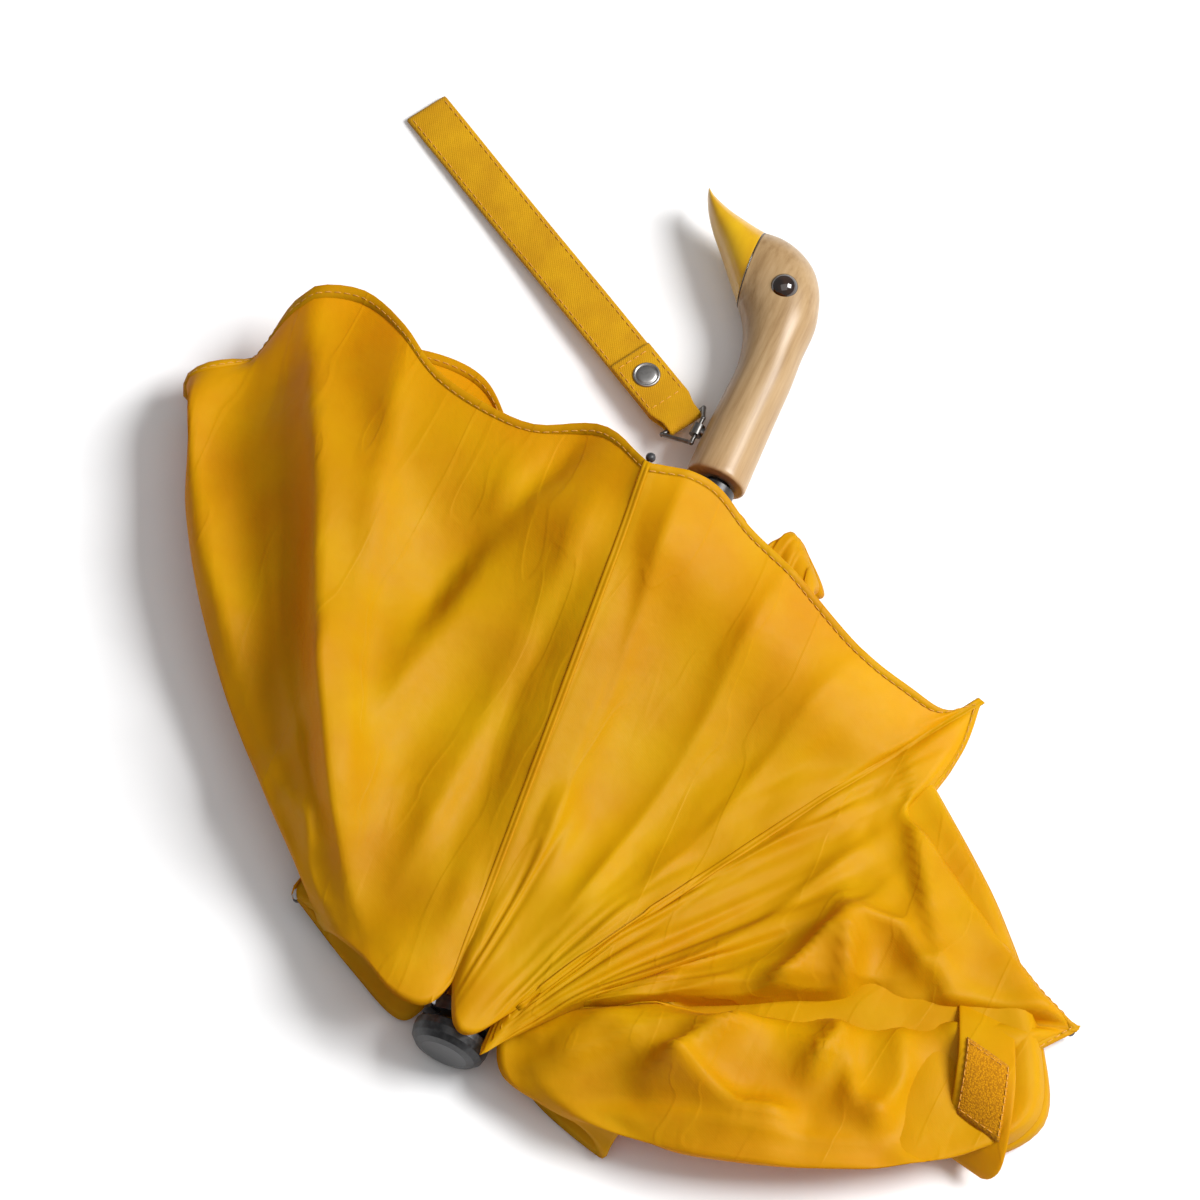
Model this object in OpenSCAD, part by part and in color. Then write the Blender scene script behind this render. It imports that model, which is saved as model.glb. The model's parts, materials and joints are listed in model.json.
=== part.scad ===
// Compact folding umbrella with a carved duck's-head handle, closed but not wrapped.
// It lies on its side. The shaft runs along Y with the handle at +Y, and the ribs' crown is at -Y.

/* [Shaft] */
// Height of the shaft's centre line above the surface
axis_z = 14.5; // [14.5:0.5:18]
// Outer radius of the lower tube, the thinnest
tube_r = 3.6; // [3.4:0.1:3.8]
// Wall of each tube
tube_wall = 0.5; // [0.4:0.05:0.55]
// Running clearance between a tube and the next
tube_gap = 0.08; // [0.06:0.01:0.1]
// Distance from the crown hinges to the handle's face, closed
shaft_len = 212; // [210:1:220]

/* [Ribs] */
// Radius of the circle on which the ribs lie
rib_circle = 11; // [10.8:0.1:11.2]
// Width of one rib bar, around the shaft
bar_w = 1.6; // [1.4:0.1:1.7]
// Height of one rib bar, outward from the shaft
bar_h = 2.4; // [2:0.1:2.4]
// Pitch of the bars that lie side by side
bar_pitch = 1.9; // [1.8:0.05:2]
// Length of the inner rib, crown hinge to knee
top_len = 175; // [170:1:176]
// Length of the middle rib, knee to knee
mid_len = 165; // [160:1:166]
// Length of the outer rib, knee to tip
outer_len = 186; // [182:1:190]
// Distance of the stretcher's joint from the crown hinge
pivot_at = 87; // [85:1:88]
// Length of the stretcher
stretcher_len = 100; // [98:1:102]

/* [Handle] */
// Radius of the wooden grip at its face
grip_r = 10.6; // [10.2:0.1:11]
// Half thickness of the duck's head
head_half = 12.2; // [11.8:0.1:12.6]

/* [Cap] */
// Radius of the top cap
cap_r = 13; // [12.6:0.1:13.2]
// Length of the top cap
cap_len = 8; // [7:0.5:10]

/* [Canopy] */
// Wall of the canopy's stand-in shell
skin = 1.2; // [1:0.1:1.4]

/* [Hidden] */
RIBS = [1:8];

// The part's origin is at the middle of its footprint, so the shaft is set off from it
origin_x = 5.1;
origin_y = 146.2;

pin_r = 0.55;
pin_gap = 0.05;
eye_r = 1.7;
middle_r = tube_r + tube_gap + tube_wall;
upper_r = middle_r + tube_gap + tube_wall;
runner_bore = upper_r + tube_gap;
runner_r = 6.8;
runner_at = pivot_at + stretcher_len;
hub_r = 12.4;
slot_gap = 0.2;

// How deep the lower tube sits in the grip, and how far up the grip its pin and screw eye are
socket_depth = 28;
grip_pin_at = 20;
grip_pin_r = 1;
lug_at = 15.5;
lug_stem_r = 1.6;

// Shallow flutes along the lower tube
flutes = 8;
flute_r = 0.45;

// Azimuth of each rib around the shaft: rib 1 is on top, then leftward round to the upper right
function azimuth(k) = 90 + 45 * (k - 1);
function radial(k) = [cos(azimuth(k)), 0, sin(azimuth(k))];
// The middle and outer ribs lie beyond the inner rib, but on the near side in two of the sets,
// so that the slanting outer rib never crosses its own middle rib
SIDE = [1, 1, 1, -1, 1, 1, 1, -1];
function tangent(k) = SIDE[k - 1] * [-sin(azimuth(k)), 0, cos(azimuth(k))];
module in_rib(k) {
    rotate([0, -azimuth(k), 0]) mirror([0, 0, SIDE[k - 1] < 0 ? 1 : 0]) children();
}

// Point of rib k: y along the shaft, r outward from it, t sideways in the rib's own frame
function rib_point(k, y, r, t) = r * radial(k) + t * tangent(k) + [0, y, 0];

// Angle by which the loose canopy holds each middle rib off its inner rib
SWING = [0, 4, 20, 0, 0, 0, 0, 3];
outer_shift = 2 * bar_pitch + 0.6;
function knee(k) = rib_point(k, top_len - mid_len * cos(SWING[k - 1]),
    rib_circle + mid_len * sin(SWING[k - 1]), outer_shift);

// The point each outer rib aims at, from the crown hinges on the shaft's centre line
AIMS = [
    [-17, 201, 44],
    [-70, 221, 12],
    [-68, 218, -6],
    [-38, 200, -9.5],
    [26, 210, -10],
    [44, 190, -8.5],
    [175, 77, -9],
    [102, 156, 1]];
function tip_way(k) = let (v = AIMS[k - 1] - knee(k)) v / norm(v);

// Direction at which the outer rib stands when open, as seen from the folded middle rib
open_turn = 167;
function open_way(k) = let (a = open_turn - SWING[k - 1]) [0, cos(a), 0] + sin(a) * radial(k);
function hinge_way(k) = let (n = cross(tip_way(k), open_way(k))) n / norm(n);

module on_axis() {
    translate([-origin_x, -origin_y, axis_z]) children();
}

// A round bar from a point along a direction
module rod(from, way, len, r, fn = 32) {
    translate(from)
        rotate([0, acos(way[2] / norm(way)), atan2(way[1], way[0])])
            cylinder(h = len, r = r, $fn = fn);
}

// A tube along the shaft from y0 to y1
module sleeve(y0, y1, r_out, r_in) {
    translate([0, y1, 0]) rotate([90, 0, 0]) difference() {
        cylinder(h = y1 - y0, r = r_out, $fn = 64);
        translate([0, 0, -1]) cylinder(h = y1 - y0 + 2, r = r_in, $fn = 64);
    }
}

/* ---- handle ---- */

// The duck's neck and head: rings along a curve in the XY plane
// Each ring is [x, y, half width across, half thickness, tilt of the ring]
HEAD = [
    [-1.1, 0, grip_r - 1.2, grip_r - 1.2, 0],
    [-1.1, 1.2, grip_r, grip_r, 0],
    [-1.4, 14, 10.4, 10.4, 0],
    [-1.5, 30, 10, 10.1, 0],
    [-1.6, 42.5, 9.8, 10.1, 2],
    [-2.9, 52.8, 10.4, 10.6, 10],
    [-4.3, 61.6, 12.2, 11.4, 20],
    [-6.3, 67.2, 13.3, 11.9, 28],
    [-8.3, 71.4, 14.1, head_half, 38],
    [-10.9, 74.9, 14.5, head_half, 51],
    [-14.5, 77.3, 14.5, 11.9, 66],
    [-18, 78.4, 14.3, 11.4, 80],
    [-21.3, 78.4, 14, 10.9, 93]];
DUCK_FACE = len(HEAD) - 1;
BEAK = [
    HEAD[DUCK_FACE],
    [-25.5, 81, 12.3, 10.2, 97],
    [-30.2, 84.5, 9.8, 9.2, 97],
    [-35.1, 88.2, 7.3, 7.8, 97],
    [-40.1, 92.2, 5, 6.2, 95],
    [-43.8, 96, 3.1, 4.4, 94],
    [-46.1, 99.3, 1.6, 2.4, 94],
    [-46.9, 101, 0.5, 0.6, 94]];
RING_SIDES = 28;

function ring(c) = [for (i = [0:RING_SIDES - 1])
    let (a = 360 * i / RING_SIDES)
    [c[0] + c[2] * cos(a) * cos(c[4]), c[1] + c[2] * cos(a) * sin(c[4]), c[3] * sin(a)]];

// A closed skin over a list of rings that all have the same number of points
module skin_over(rings) {
    n = len(rings[0]);
    m = len(rings);
    polyhedron(
        points = [for (r = rings) each r],
        faces = concat(
            [[for (i = [0:n - 1]) i]],
            [[for (i = [n - 1:-1:0]) (m - 1) * n + i]],
            [for (j = [0:m - 2], i = [0:n - 1]) let (a = j * n + i, b = j * n + (i + 1) % n)
                each [[a, a + n, b], [b, a + n, b + n]]]));
}

module wood_handle() {
    color("burlywood") on_axis() difference() {
        translate([0, shaft_len, 0]) skin_over([for (c = HEAD) ring(c)]);
        translate([0, shaft_len + socket_depth + 2, 0]) rotate([90, 0, 0])
            cylinder(h = 40, r = tube_r, $fn = 64);
        eye_domes();
        translate([-grip_r - 2.1, shaft_len + lug_at, 0]) rotate([0, 90, 0])
            cylinder(h = 9, r = lug_stem_r, $fn = 32);
        translate([0, shaft_len + grip_pin_at, -7]) cylinder(h = 14, r = grip_pin_r, $fn = 32);
    }
}

module beak() {
    color("gold") on_axis() translate([0, shaft_len, 0])
        translate([-0.25, 0, 0]) skin_over([for (c = BEAK) ring(c)]);
}

// Two glossy domes, one on each side of the head. The umbrella rests on the lower one
eye_ball = 5;
eye_x = -7;
eye_y = shaft_len + 72;
module eye_domes() {
    for (side = [-1, 1])
        translate([eye_x, eye_y, side * (axis_z - eye_ball)]) sphere(r = eye_ball, $fn = 48);
}

module eyes() {
    color("black") on_axis() eye_domes();
}

module handle_pin() {
    color("silver") on_axis()
        translate([0, shaft_len + grip_pin_at, -6.6]) cylinder(h = 13.2, r = grip_pin_r, $fn = 32);
}

// Screw eye at the left of the grip that the strap's ring hinges in
lug_x = -grip_r - 3.7;
lug_y = shaft_len + lug_at;
module strap_lug() {
    color("dimgray") on_axis() translate([lug_x, lug_y, 0]) difference() {
        union() {
            rotate([90, 0, 0]) translate([0, 0, -2]) cylinder(h = 4, r = 2.1, $fn = 48);
            translate([1.2, 0, 0]) rotate([0, 90, 0]) cylinder(h = 9, r = lug_stem_r - 0.02, $fn = 32);
        }
        rotate([90, 0, 0]) translate([0, 0, -5]) cylinder(h = 10, r = 0.85, $fn = 48);
    }
}

/* ---- shaft ---- */

module lower_tube() {
    color("#3a3a3c") on_axis() difference() {
        sleeve(20, shaft_len + socket_depth, tube_r, tube_r - tube_wall);
        translate([0, shaft_len + grip_pin_at, -7]) cylinder(h = 14, r = grip_pin_r, $fn = 32);
        // The flutes stop where the tube enters the grip
        for (i = [1:flutes]) rotate([0, 360 * i / flutes, 0])
            translate([tube_r + 0.25, shaft_len, 0]) rotate([90, 0, 0])
                cylinder(h = shaft_len, r = flute_r, $fn = 24);
    }
}

// The middle tube has a window that the catch sinks into
catch_at = 96;
catch_proud = 0.6;
module middle_tube() {
    color("#4a4a4c") on_axis() difference() {
        sleeve(12, shaft_len - 3, middle_r, tube_r + tube_gap);
        translate([-1, catch_at - 0.4, middle_r - 1]) cube([2, 8.8, 3]);
    }
}

module upper_tube() {
    color("#5a5a5c") on_axis() difference() {
        sleeve(-5, shaft_len - 5, upper_r, middle_r + tube_gap);
        translate([-0.8, catch_at, middle_r - 1]) cube([1.6, 8, 3]);
    }
}

// Sprung button that holds the runner when the umbrella is up
module top_catch() {
    color("silver") on_axis()
        translate([-0.7, catch_at + 0.4, middle_r + tube_gap + 0.05])
            cube([1.4, 7.2, upper_r - middle_r - tube_gap - 0.05 + catch_proud]);
}

/* ---- crown and runner ---- */

// A hub with one slot for each rib, over the tube
module hub(y0, y1, bore, t) {
    difference() {
        translate([0, y1, 0]) rotate([90, 0, 0]) cylinder(h = y1 - y0, r = hub_r, $fn = 96);
        translate([0, y1 + 1, 0]) rotate([90, 0, 0]) cylinder(h = y1 - y0 + 2, r = bore, $fn = 64);
        for (k = RIBS) in_rib(k) {
            translate([rib_circle - 2.1, y0 - 1, t - bar_w / 2 - slot_gap])
                cube([10, y1 - y0 + 2, bar_w + 2 * slot_gap]);
            translate([rib_circle, (y0 + y1) / 2, t - 1.7]) cylinder(h = 3.4, r = pin_r, $fn = 24);
        }
    }
}

module hub_pins(y, t) {
    for (k = RIBS) in_rib(k)
        translate([rib_circle, y, t - 1.6]) cylinder(h = 3.2, r = pin_r, $fn = 24);
}

module crown() {
    color("#202022") on_axis() hub(-2.5, 2.5, upper_r, 0);
}

module crown_pins() {
    color("silver") on_axis() hub_pins(0, 0);
}

runner_end = shaft_len - 2;
module catch_groove() {
    translate([-0.95, runner_at - 5, upper_r - 0.5]) cube([1.9, 40, 1.6]);
}

module runner() {
    color("#202022") on_axis() {
        difference() {
            hub(runner_at - 2.5, runner_at + 2.5, runner_bore, -bar_pitch);
            catch_groove();
        }
        difference() {
            sleeve(runner_at + 2.4, runner_end, runner_r, runner_bore);
            catch_groove();
        }
    }
}

module runner_pins() {
    color("silver") on_axis() hub_pins(runner_at, -bar_pitch);
}

module top_cap() {
    color("#1c1c1e") on_axis() translate([0, -5.2, 0]) rotate([90, 0, 0]) difference() {
        rotate_extrude($fn = 96) polygon([
            [0, 0], [cap_r - 0.6, 0], [cap_r, 0.6], [cap_r, cap_len - 5],
            [cap_r - 0.6, cap_len - 2.6], [cap_r - 2.4, cap_len - 0.8],
            [cap_r - 5, cap_len], [0, cap_len]]);
        translate([0, 0, -1]) cylinder(h = 3, r = 4, $fn = 48);
    }
}

/* ---- ribs ---- */

// A flat bar with a round end at each joint. y runs along it and z is across it
module link(len, hole_a, hole_b) {
    difference() {
        union() {
            translate([-bar_h / 2, 0, -bar_w / 2]) cube([bar_h, len, bar_w]);
            for (y = [0, len]) translate([0, y, -bar_w / 2]) cylinder(h = bar_w, r = eye_r, $fn = 32);
        }
        if (hole_a > 0) translate([0, 0, -2]) cylinder(h = 4, r = hole_a, $fn = 24);
        if (hole_b > 0) translate([0, len, -2]) cylinder(h = 4, r = hole_b, $fn = 24);
    }
}

running = pin_r + pin_gap;

module top_rib(k) {
    color("#8d8f93") on_axis() in_rib(k) translate([rib_circle, 0, 0]) {
        link(top_len, running, 0);
        // The knee's pin is fixed in this bar and runs in the middle rib
        translate([0, top_len, -bar_w / 2]) cylinder(h = bar_w + bar_pitch, r = pin_r, $fn = 24);
    }
}

module mid_rib(k) {
    color("#8d8f93") on_axis() {
        in_rib(k) translate([rib_circle, top_len, bar_pitch])
            rotate([0, 0, SWING[k - 1]]) translate([0, -mid_len, 0]) link(mid_len, 0, running);
        rod(knee(k) - 0.7 * hinge_way(k), hinge_way(k), outer_shift - bar_pitch + 0.8, pin_r, 24);
    }
}

// The outer rib turns about a slanted pin, so that it folds to where the loose canopy holds it
module outer_rib(k) {
    way = tip_way(k);
    color("#3c3d40") on_axis() {
        difference() {
            union() {
                rod(knee(k) - 0.7 * hinge_way(k), hinge_way(k), 1.4, eye_r);
                rod(knee(k) + 0.3 * way, way, outer_len - 16, 0.95, 20);
            }
            rod(knee(k) - 2 * hinge_way(k), hinge_way(k), 4, running, 24);
        }
        rod(knee(k) + (outer_len - 17) * way, way, 14, 1.35, 24);
        rod(knee(k) + (outer_len - 4) * way, way, 3.4, 0.7, 20);
        translate(knee(k) + outer_len * way) sphere(r = 1.7, $fn = 32);
    }
}

module stretcher(k) {
    color("#8d8f93") on_axis() in_rib(k)
        translate([rib_circle, pivot_at, -bar_pitch]) link(stretcher_len, 0, running);
}

/* ---- canopy ---- */

// The loose canopy spreads like a fan from a throat round the crown. For each direction in plan,
// from the shaft towards the right, this is how far the hem reaches and how high it stands
FAN = [
    [-100, 22, 16],
    [-84, 56, 34],
    [-64, 126, 34],
    [-54, 196, 28],
    [-46, 248, 26],
    [-36, 266, 34],
    [-24, 232, 44],
    [-12, 222, 56],
    [-3, 218, 66],
    [6, 212, 62],
    [16, 204, 50],
    [28, 202, 38],
    [38, 194, 28],
    [54, 190, 22],
    [66, 206, 18],
    [82, 168, 16],
    [96, 120, 14],
    [106, 86, 12],
    [116, 40, 20]];
puff = 16;
throat_y = -4;
throat_r = 14.2;
fan_middle = [10, 90, 0];
FAN_STEPS = [0, 0.1, 0.25, 0.45, 0.65, 0.85, 1];

function hem_point(f, z) = [f[1] * sin(f[0]), f[1] * cos(f[0]), z];
function inward(p, d) = let (v = [fan_middle[0] - p[0], fan_middle[1] - p[1], 0]) p + d * v / norm(v);
function throat_point(a, r) = [r * cos(a), throat_y, r * sin(a)];

// One loop of the shell: over the top from left to right, then back beneath.
// Share s runs from the throat to the hem, and inset moves the loop into the shell
function fan_loop(s, inset) = let (last = len(FAN) - 1) concat(
    [for (i = [0:last])
        (1 - s) * throat_point(180 - 180 * i / last, throat_r - inset)
        + s * inward(hem_point(FAN[i], FAN[i][2] - axis_z - inset), 1.6 * inset)
        + [0, 0, puff * sin(180 * pow(s, 0.45)) * sin(180 * pow(i / last, 0.7))]],
    [for (i = [last:-1:0])
        (1 - s) * throat_point(180 * i / last - 180, throat_r - inset)
        + s * inward(hem_point(FAN[i], -axis_z + inset), 1.6 * inset)]);

// Outer skin from throat to hem, then the inner skin back again
module canopy() {
    loops = concat(
        [for (s = FAN_STEPS) fan_loop(s, 0)],
        [for (i = [len(FAN_STEPS) - 1:-1:0]) fan_loop(FAN_STEPS[i], skin)]);
    n = len(loops[0]);
    m = len(loops);
    color("#e6b400") on_axis() polyhedron(
        points = [for (l = loops) each l],
        faces = [for (j = [0:m - 1], i = [0:n - 1])
            let (a = j * n + i, b = j * n + (i + 1) % n,
                 c = ((j + 1) % m) * n + i, d = ((j + 1) % m) * n + (i + 1) % n)
            each [[a, b, c], [b, d, c]]]);
}

// Closing strap sewn to the hem of the lower right panel
strap_at = [150, 34, -axis_z + 24.2];
strap_turn = -18;
tie_thick = 0.8;
patch_l = 22;
patch_w = 18;
module tie_strap() {
    color("#e0aa10") on_axis() translate(strap_at) rotate([0, 0, strap_turn])
        translate([-25, -11, 0]) cube([62, 22, tie_thick]);
}

module hook_patch() {
    color("#c89000") on_axis() translate(strap_at) rotate([0, 0, strap_turn])
        translate([12, -patch_w / 2, tie_thick]) cube([patch_l, patch_w, 1.2]);
}

module loop_patch() {
    color("#c89000") on_axis() translate(strap_at) rotate([0, 0, strap_turn])
        translate([-patch_l, -patch_w / 2, tie_thick]) cube([patch_l, patch_w, 1]);
}

/* ---- wrist strap ---- */

ring_r = 0.75;
strap_angle = 149;
loop_w = 13;
loop_r = 2.1;
bar_way = [sin(strap_angle), -cos(strap_angle), 0];
bar_mid = [-21, lug_y + 3.5, -5];
bar_half = 8.6;

// Wire ring: one side runs through the screw eye, the other carries the strap
module strap_ring() {
    near = [[lug_x, lug_y - 5, 0], [lug_x, lug_y + 5, 0]];
    far = [bar_mid - bar_half * bar_way, bar_mid + bar_half * bar_way];
    color("#55575a") on_axis() {
        for (p = [[near[0], near[1]], [far[0], far[1]], [near[0], far[0]], [near[1], far[1]]])
            rod(p[0], p[1] - p[0], norm(p[1] - p[0]), ring_r, 24);
        for (p = concat(near, far)) translate(p) sphere(r = ring_r + 0.15, $fn = 24);
    }
}

strap_w = 16;
tape = 1.2;
strap_len = 152;
tape_z = -2.1;
strap_drop = asin((bar_mid[2] + axis_z + tape_z) / strap_len);
module on_strap() {
    on_axis() translate(bar_mid) rotate([0, 0, strap_angle]) rotate([0, strap_drop, 0]) children();
}

// Doubled tape: a loop round the ring's bar, then two layers lying together
module wrist_strap() {
    color("#dca012") on_strap() difference() {
        union() {
            rotate([90, 0, 0]) translate([0, 0, -loop_w / 2]) cylinder(h = loop_w, r = loop_r, $fn = 48);
            translate([0.4, -loop_w / 2, tape_z]) cube([8, loop_w, 3.4]);
            translate([6, -strap_w / 2, tape_z]) cube([strap_len - 6, strap_w, 2 * tape]);
        }
        rotate([90, 0, 0]) translate([0, 0, -10]) cylinder(h = 20, r = ring_r + 0.45, $fn = 48);
    }
}

snap_x = 21;
module snap_cap() {
    color("gray") on_strap() translate([snap_x, 0, tape_z + 2 * tape]) difference() {
        cylinder(h = 1.8, r = 4.75, $fn = 64);
        translate([0, 0, 1]) cylinder(h = 2, r = 2.6, $fn = 48);
    }
}

module snap_socket() {
    color("gray") on_strap() translate([snap_x, 0, tape_z - 1.2])
        cylinder(h = 1.2, r = 4.4, $fn = 64);
}

wood_handle();
beak();
eyes();
handle_pin();
lower_tube();
strap_lug();
middle_tube();
upper_tube();
crown();
crown_pins();
top_cap();
canopy();
tie_strap();
hook_patch();
loop_patch();
top_catch();
runner();
runner_pins();
strap_ring();
wrist_strap();
snap_cap();
snap_socket();
for (k = RIBS) {
    top_rib(k);
    mid_rib(k);
    outer_rib(k);
    stretcher(k);
}
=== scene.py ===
"""Looks for the folding umbrella: closed, unwrapped, lying on its side."""

import bisect
import json
import math

import bpy
import numpy as np
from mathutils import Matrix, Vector
from mathutils.bvhtree import BVHTree


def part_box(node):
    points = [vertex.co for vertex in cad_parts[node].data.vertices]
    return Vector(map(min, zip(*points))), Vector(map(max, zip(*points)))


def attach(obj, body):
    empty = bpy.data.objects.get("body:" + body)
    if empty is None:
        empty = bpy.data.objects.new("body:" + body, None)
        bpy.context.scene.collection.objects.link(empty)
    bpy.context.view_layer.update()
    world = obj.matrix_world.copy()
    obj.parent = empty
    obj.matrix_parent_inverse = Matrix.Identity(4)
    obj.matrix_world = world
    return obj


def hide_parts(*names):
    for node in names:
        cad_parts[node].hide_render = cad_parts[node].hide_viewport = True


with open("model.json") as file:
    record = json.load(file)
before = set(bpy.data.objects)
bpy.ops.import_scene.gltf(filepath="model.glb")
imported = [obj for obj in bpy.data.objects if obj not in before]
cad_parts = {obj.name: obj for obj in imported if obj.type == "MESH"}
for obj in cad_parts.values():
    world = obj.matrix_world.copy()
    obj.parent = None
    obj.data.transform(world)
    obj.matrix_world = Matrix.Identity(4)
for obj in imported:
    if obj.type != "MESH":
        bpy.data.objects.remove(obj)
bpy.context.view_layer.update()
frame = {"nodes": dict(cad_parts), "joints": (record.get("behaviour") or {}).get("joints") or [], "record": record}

MM = 0.001
UP = Vector((0, 0, 1))
RIBS = range(1, 9)
crown_low, crown_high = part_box("crown")
SHAFT = (Vector(crown_low) + Vector(crown_high)) / 2  # the crown's centre, where the ribs hinge
JOINTS = {joint["name"]: joint for joint in frame["joints"]}
STRAP_ANGLE = math.radians(149)     # the wrist strap's direction on the table, and its weave's


def at(x, y, z):
    """A place x right of the shaft and y from the crown, z above the table, all in millimetres."""
    return Vector((SHAFT.x + x * MM, SHAFT.y + y * MM, z * MM))


# ---------------------------------------------------------------- camera, floor and light

AZIMUTH = math.radians(23.7)
ELEVATION = math.radians(65)
DISTANCE = 3.0
VIEW_WIDTH = 0.4
LOOK_AT = at(-19, 157, 14)


def make_camera():
    forward = Vector((-math.sin(AZIMUTH) * math.cos(ELEVATION),
                      math.cos(AZIMUTH) * math.cos(ELEVATION),
                      -math.sin(ELEVATION)))
    data = bpy.data.cameras.new("camera")
    data.angle = 2 * math.atan(VIEW_WIDTH / 2 / DISTANCE)
    camera = bpy.data.objects.new("camera", data)
    camera.location = LOOK_AT - forward * DISTANCE
    camera.rotation_euler = forward.to_track_quat("-Z", "Y").to_euler()
    bpy.context.collection.objects.link(camera)
    bpy.context.scene.camera = camera


def area_light(name, place, size, power):
    data = bpy.data.lights.new(name, "AREA")
    data.size = size
    data.energy = power
    light = bpy.data.objects.new(name, data)
    light.location = place
    light.rotation_euler = (LOOK_AT - place).to_track_quat("-Z", "Y").to_euler()
    bpy.context.collection.objects.link(light)


def make_world():
    world = bpy.data.worlds.new("studio")
    world.use_nodes = True
    background = world.node_tree.nodes["Background"]
    background.inputs["Color"].default_value = (1, 1, 1, 1)
    background.inputs["Strength"].default_value = 0.25
    bpy.context.scene.world = world
    bpy.context.scene.view_settings.view_transform = "Standard"


# ---------------------------------------------------------------- materials

def material(name, colour, roughness, **sockets):
    """A new node material. Returns it with its tree and its Principled shader."""
    made = bpy.data.materials.new(name)
    made.use_nodes = True
    tree = made.node_tree
    shader = tree.nodes["Principled BSDF"]
    shader.inputs["Base Color"].default_value = (*colour, 1)
    shader.inputs["Roughness"].default_value = roughness
    for socket, value in sockets.items():
        shader.inputs[socket.replace("_", " ")].default_value = value
    return made, tree, shader


def place_of(tree, scale=(1, 1, 1), turn=(0, 0, 0)):
    """Object coordinates, stretched and turned."""
    coordinates = tree.nodes.new("ShaderNodeTexCoord")
    mapping = tree.nodes.new("ShaderNodeMapping")
    mapping.inputs["Scale"].default_value = scale
    mapping.inputs["Rotation"].default_value = turn
    tree.links.new(coordinates.outputs["Object"], mapping.inputs["Vector"])
    return mapping.outputs["Vector"]


def noise_at(tree, scale, detail=3, roughness=0.5, where=None):
    """Noise over the object's own coordinates, or over the given ones."""
    made = tree.nodes.new("ShaderNodeTexNoise")
    made.inputs["Scale"].default_value = scale
    made.inputs["Detail"].default_value = detail
    made.inputs["Roughness"].default_value = roughness
    tree.links.new(where or place_of(tree), made.inputs["Vector"])
    return made.outputs["Fac"]


def ramp(tree, factor, *stops):
    made = tree.nodes.new("ShaderNodeValToRGB")
    stretch = made.color_ramp.elements
    while len(stretch) < len(stops):
        stretch.new(0.5)
    for element, (position, colour) in zip(stretch, stops):
        element.position = position
        element.color = (*colour, 1)
    tree.links.new(factor, made.inputs["Fac"])
    return made.outputs["Color"]


def colour_by(tree, shader, factor, *stops):
    tree.links.new(ramp(tree, factor, *stops), shader.inputs["Base Color"])


def bump(tree, shader, height, strength, distance, after=None):
    """A bump on the shader, over the one whose normal is given as after."""
    made = tree.nodes.new("ShaderNodeBump")
    made.inputs["Strength"].default_value = strength
    made.inputs["Distance"].default_value = distance
    tree.links.new(height, made.inputs["Height"])
    if after:
        tree.links.new(after, made.inputs["Normal"])
    tree.links.new(made.outputs["Normal"], shader.inputs["Normal"])
    return made.outputs["Normal"]


def vary_roughness(tree, shader, factor, low, high):
    made = tree.nodes.new("ShaderNodeMapRange")
    made.inputs["To Min"].default_value = low
    made.inputs["To Max"].default_value = high
    tree.links.new(factor, made.inputs["Value"])
    tree.links.new(made.outputs["Result"], shader.inputs["Roughness"])


WAVE_PERIOD = 0.314     # metres between the crests of a wave texture of scale 1


def weave(tree, shader, pitch, strength, turn, after):
    """Crossed threads of the given pitch, in metres."""
    heights = []
    for direction in ("X", "Y"):
        wave = tree.nodes.new("ShaderNodeTexWave")
        wave.bands_direction = direction
        wave.inputs["Scale"].default_value = WAVE_PERIOD / pitch
        wave.inputs["Distortion"].default_value = 0.4
        tree.links.new(place_of(tree, turn=(0, 0, turn)), wave.inputs["Vector"])
        heights.append(wave.outputs["Fac"])
    both = tree.nodes.new("ShaderNodeMath")
    both.operation = "MULTIPLY"
    for socket, height in zip(both.inputs, heights):
        tree.links.new(height, socket)
    return bump(tree, shader, both.outputs[0], strength, pitch * 0.4, after)


def pongee():
    """Thin woven polyester, crumpled and creased: it shines a little and lets light through."""
    made, tree, shader = material("pongee", (0.60, 0.31, 0.0003), 0.55, Sheen_Weight=0.02,
                                  Sheen_Roughness=0.4, Sheen_Tint=(1, 0.85, 0.35, 1),
                                  Specular_IOR_Level=0.12)
    broad = noise_at(tree, 30, 4)
    colour_by(tree, shader, broad, (0.3, (0.57, 0.265, 0.0002)), (0.7, (0.64, 0.36, 0.0003)))
    crumple = noise_at(tree, 110, 3, 0.55)
    normal = bump(tree, shader, crumple, 0.16, 0.0022)
    streaks = noise_at(tree, 48, 2, 0.4, place_of(tree, (1, 0.16, 1), (0, 0, math.radians(-12))))
    creases = ramp(tree, streaks, (0.44, (0, 0, 0)), (0.485, (1, 1, 1)), (0.5, (0.2, 0.2, 0.2)))
    normal = bump(tree, shader, creases, 0.22, 0.0006, normal)
    weave(tree, shader, 0.0006, 0.12, math.radians(24), normal)
    vary_roughness(tree, shader, noise_at(tree, 260), 0.42, 0.6)
    through = tree.nodes.new("ShaderNodeBsdfTranslucent")
    through.inputs["Color"].default_value = (0.80, 0.16, 0.0005, 1)
    mix = tree.nodes.new("ShaderNodeMixShader")
    mix.inputs["Fac"].default_value = 0.34
    tree.links.new(shader.outputs[0], mix.inputs[1])
    tree.links.new(through.outputs[0], mix.inputs[2])
    tree.links.new(mix.outputs[0], tree.nodes["Material Output"].inputs["Surface"])
    return made


def thread():
    made, tree, shader = material("sewing_thread", (0.62, 0.27, 0.004), 0.6, Sheen_Weight=0.3)
    fuzz = noise_at(tree, 2600, 2)
    colour_by(tree, shader, fuzz, (0.3, (0.5, 0.19, 0.002)), (0.7, (0.72, 0.34, 0.01)))
    bump(tree, shader, fuzz, 0.4, 0.0002)
    return made


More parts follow.
